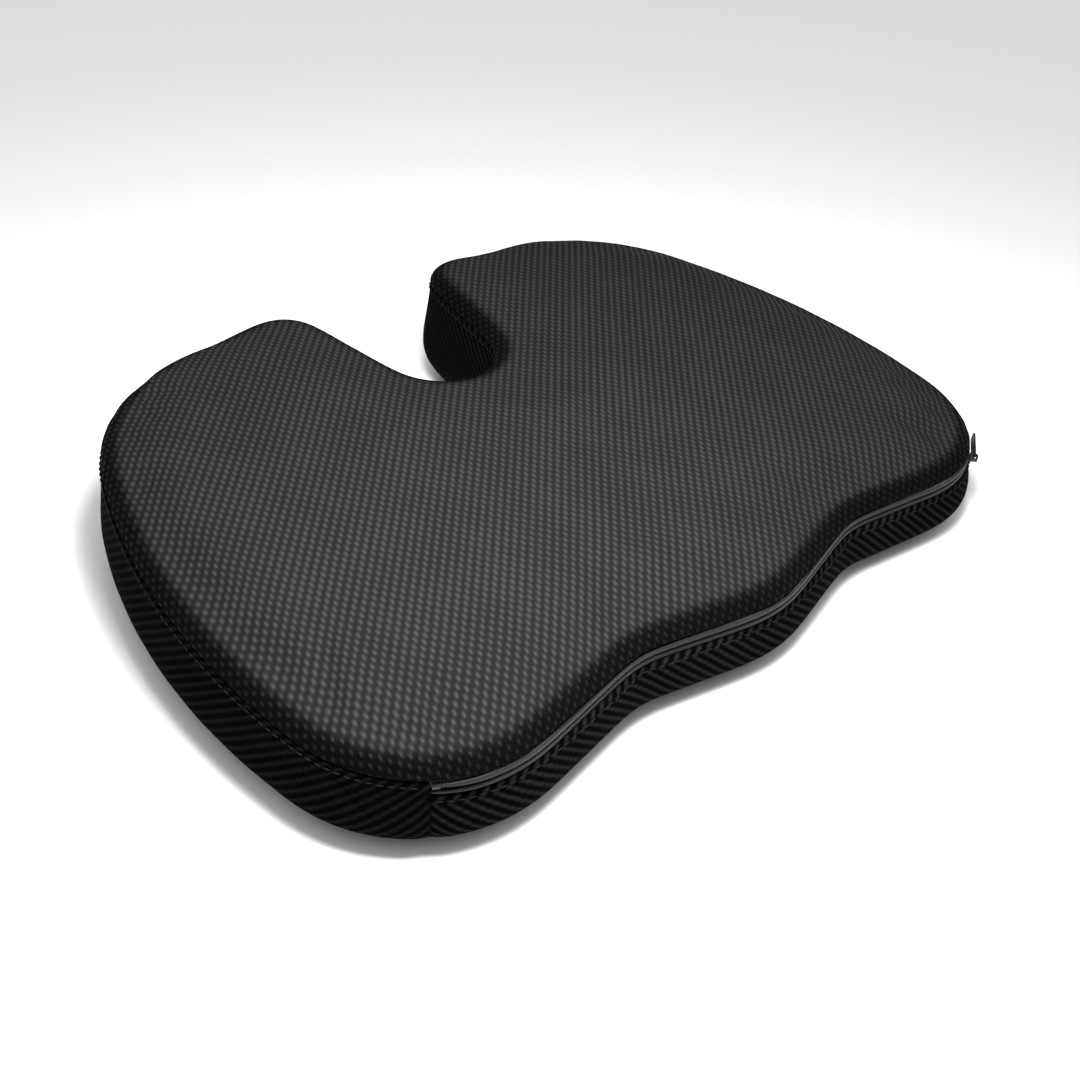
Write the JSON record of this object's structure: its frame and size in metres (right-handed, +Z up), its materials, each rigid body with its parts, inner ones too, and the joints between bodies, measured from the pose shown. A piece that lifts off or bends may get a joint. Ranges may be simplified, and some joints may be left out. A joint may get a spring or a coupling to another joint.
{
  "type": "seat cushion",
  "caption": "Wedge-shaped foam seat cushion with a U-shaped tailbone notch, scalloped thigh edge and a zipped spacer-mesh cover.",
  "frame": {"origin": "on the floor under the middle of the cushion's outline", "axes": "+X to the right, across the sides; +Y from the thigh edge to the notched back edge; +Z up"},
  "size_m": [0.4586, 0.3286, 0.0721],
  "materials": {
    "foam": "open-cell memory foam",
    "spacer_mesh": "matt knitted spacer mesh",
    "base_fabric": "anti-slip fabric",
    "zip_tape": "smooth woven tape",
    "zip_coil": "nylon coil",
    "zip_metal": "black enamelled zinc"
  },
  "bodies": {
    "cushion": {"foam_core": "foam", "top_panel": "spacer_mesh", "right_side_band": "spacer_mesh", "left_side_band": "spacer_mesh", "front_band": "spacer_mesh", "bottom_panel": "base_fabric", "zip_tape_upper": "zip_tape", "zip_tape_lower": "zip_tape", "zip_coil_upper": "zip_coil", "zip_coil_lower": "zip_coil", "zip_end_stop_right": "zip_metal", "zip_end_stop_left": "zip_metal"},
    "slider": {"zip_slider": "zip_metal"},
    "pull": {"zip_pull": "zip_metal"}
  },
  "joints": [
    {"name": "slider_run", "type": "hinge", "parent": "cushion", "child": "slider", "pos_m": [0.15156, -0.085, 0.04033], "axis": [0, -0.0841, 0.9965], "range_deg": [-32, 0]},
    {"name": "pull_swing", "type": "hinge", "parent": "slider", "child": "pull", "pos_m": [0.18478, -0.14938, 0.0349], "axis": [0, 0.0841, -0.9965], "range_deg": [0, 170]}
  ]
}
